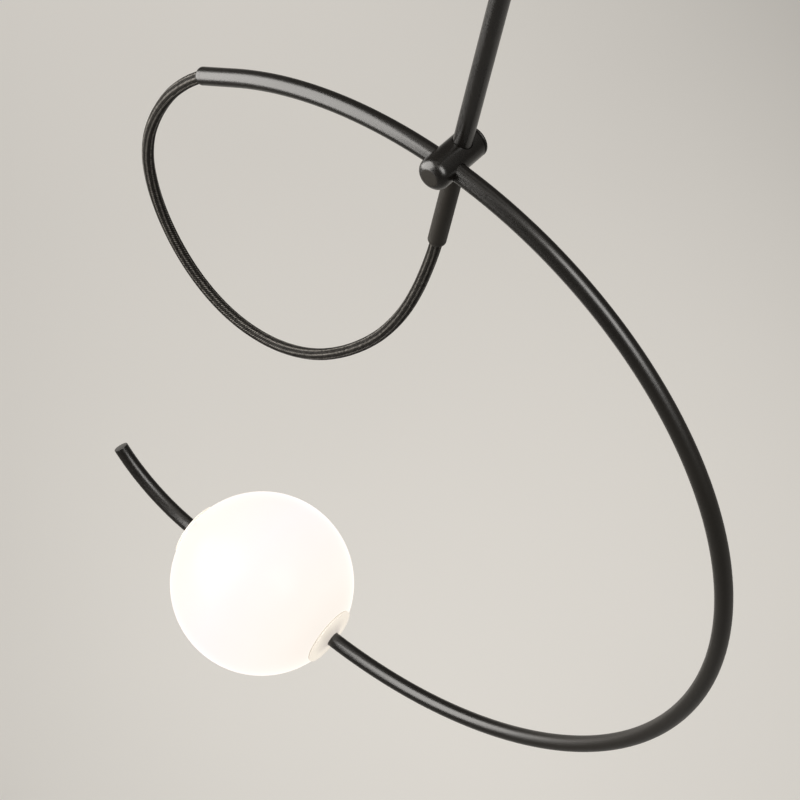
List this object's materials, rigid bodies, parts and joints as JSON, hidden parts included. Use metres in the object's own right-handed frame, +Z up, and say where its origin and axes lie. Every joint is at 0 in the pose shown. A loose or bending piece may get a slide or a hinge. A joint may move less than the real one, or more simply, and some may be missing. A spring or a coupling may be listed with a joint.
{
  "type": "pendant lamp",
  "caption": "Pendant lamp: an open ring of black tube gripped by a clamp on a straight ceiling stem, with a lit opal globe low on the ring and a looped textile cable.",
  "frame": {"origin": "on the ceiling face of the ceiling plate, over the stem's axis", "axes": "+Z up along the stem; X lies in the ring's plane, with the globe and the cable's loop on the -X side; the clamp's closed nose points to -Y"},
  "size_m": [0.5435, 0.1554, 1],
  "materials": {
    "black_coat": "satin fine-grained powder coat",
    "black_textile": "braided",
    "opal_glass": "opal, lit from inside",
    "cap_plastic": "moulded, lets light through",
    "clear_silicone": "translucent",
    "zinc_steel": "zinc plated",
    "bare_aluminium": "extruded",
    "brass": "turned",
    "white_plastic": "moulded",
    "lead_sheath": "extruded sleeve"
  },
  "bodies": {
    "stem": {"ceiling_plate": "zinc_steel", "canopy_cup": "black_coat", "canopy_screw_right": "black_coat", "canopy_screw_left": "black_coat", "led_driver": "white_plastic", "terminal_block": "white_plastic", "driver_lead": "lead_sheath", "terminal_lead": "lead_sheath", "stem_lead": "lead_sheath", "stem_tube": "black_coat", "stem_end_bush": "black_coat", "stem_nipple": "brass", "nipple_nut": "brass", "nipple_washer": "zinc_steel", "canopy_collar": "black_coat", "collar_grub_screw": "black_coat"},
    "clamp": {"clamp_body": "black_coat", "clamp_saddle": "brass", "clamp_pad": "brass", "clamp_screw": "black_coat", "textile_cable": "black_textile"},
    "ring": {"ring_tube": "black_coat", "ring_end_bush": "black_coat", "ring_lead": "lead_sheath", "tail_tube": "black_coat", "tube_joint_pin": "zinc_steel", "tail_end_plug": "black_coat", "glass_globe": "opal_glass", "led_core": "bare_aluminium", "led_board_1": "white_plastic", "led_board_2": "white_plastic", "led_board_3": "white_plastic", "led_board_4": "white_plastic", "led_board_5": "white_plastic", "led_board_6": "white_plastic", "globe_cap_entry": "cap_plastic", "globe_cap_exit": "cap_plastic", "glass_seal_entry": "clear_silicone", "glass_seal_exit": "clear_silicone", "core_screw_entry": "zinc_steel", "core_screw_exit": "zinc_steel"}
  },
  "joints": [
    {"name": "clamp_turn", "type": "hinge", "parent": "stem", "child": "clamp", "pos_m": [0, 0, -0.33], "axis": [0, 0, 1], "range_deg": [-150, 150]},
    {"name": "ring_slide", "type": "hinge", "parent": "clamp", "child": "ring", "pos_m": [0, -0.0143, -0.626], "axis": [0, -1, 0], "range_deg": [-32, 40], "deforming": ["textile_cable"]}
  ]
}
